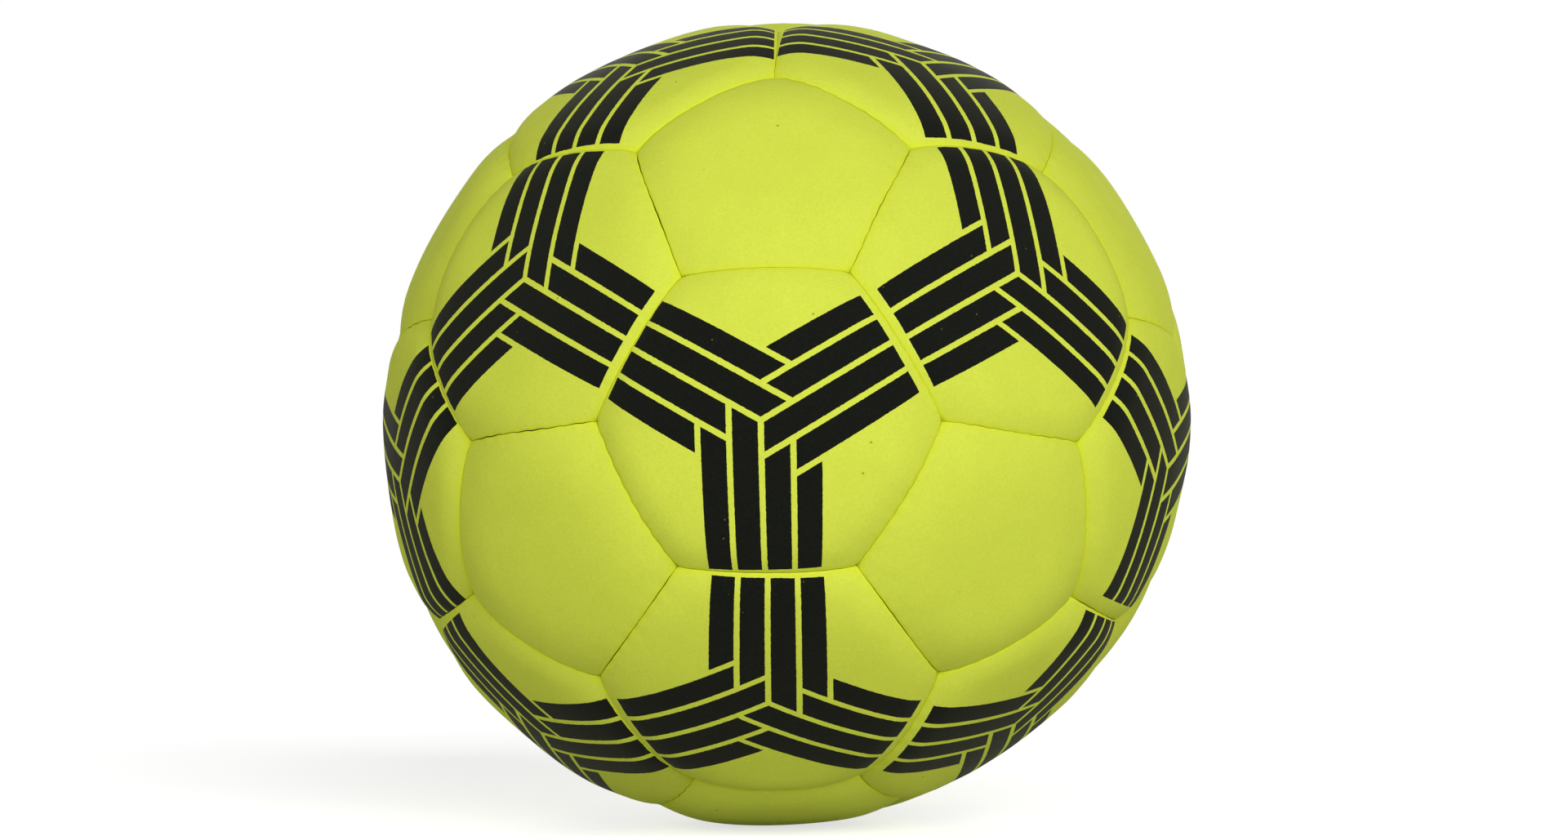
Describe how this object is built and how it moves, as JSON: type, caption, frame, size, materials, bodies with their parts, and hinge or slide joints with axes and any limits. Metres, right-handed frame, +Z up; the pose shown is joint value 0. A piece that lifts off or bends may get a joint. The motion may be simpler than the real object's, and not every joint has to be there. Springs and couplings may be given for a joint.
{
  "type": "indoor soccer ball",
  "caption": "Felt-covered indoor soccer ball: sewn hexagon and pentagon panels with turned-in seams over an inflated bladder with a needle valve.",
  "frame": {"origin": "centre of the ball", "axes": "+Z up; -Y towards the viewer, through the middle of the front hexagon; the pentagon above that hexagon leans towards +Z; +X to the viewer's right"},
  "size_m": [0.2188, 0.22, 0.2198],
  "materials": {
    "felt": "fluorescent yellow needle felt with a matt nap; black striped print on the hexagons",
    "thread": "waxed polyester thread, dull",
    "latex": "natural latex, smooth and slightly powdery",
    "valve_rubber": "moulded black rubber, satin"
  },
  "bodies": {
    "root": {"hexagon_panel_01": "felt", "hexagon_panel_02": "felt", "hexagon_panel_03": "felt", "hexagon_panel_04": "felt", "hexagon_panel_05": "felt", "hexagon_panel_06": "felt", "hexagon_panel_07": "felt", "hexagon_panel_08": "felt", "hexagon_panel_09": "felt", "hexagon_panel_10": "felt", "hexagon_panel_11": "felt", "hexagon_panel_12": "felt", "hexagon_panel_13": "felt", "hexagon_panel_14": "felt", "hexagon_panel_15": "felt", "hexagon_panel_16": "felt", "hexagon_panel_17": "felt", "hexagon_panel_18": "felt", "hexagon_panel_19": "felt", "hexagon_panel_20": "felt", "pentagon_panel_01": "felt", "pentagon_panel_02": "felt", "pentagon_panel_03": "felt", "pentagon_panel_04": "felt", "pentagon_panel_05": "felt", "pentagon_panel_06": "felt", "pentagon_panel_07": "felt", "pentagon_panel_08": "felt", "pentagon_panel_09": "felt", "pentagon_panel_10": "felt", "pentagon_panel_11": "felt", "valve_panel": "felt", "seam_thread": "thread", "bladder": "latex", "valve_seat": "valve_rubber", "valve_insert": "valve_rubber"}
  },
  "joints": []
}
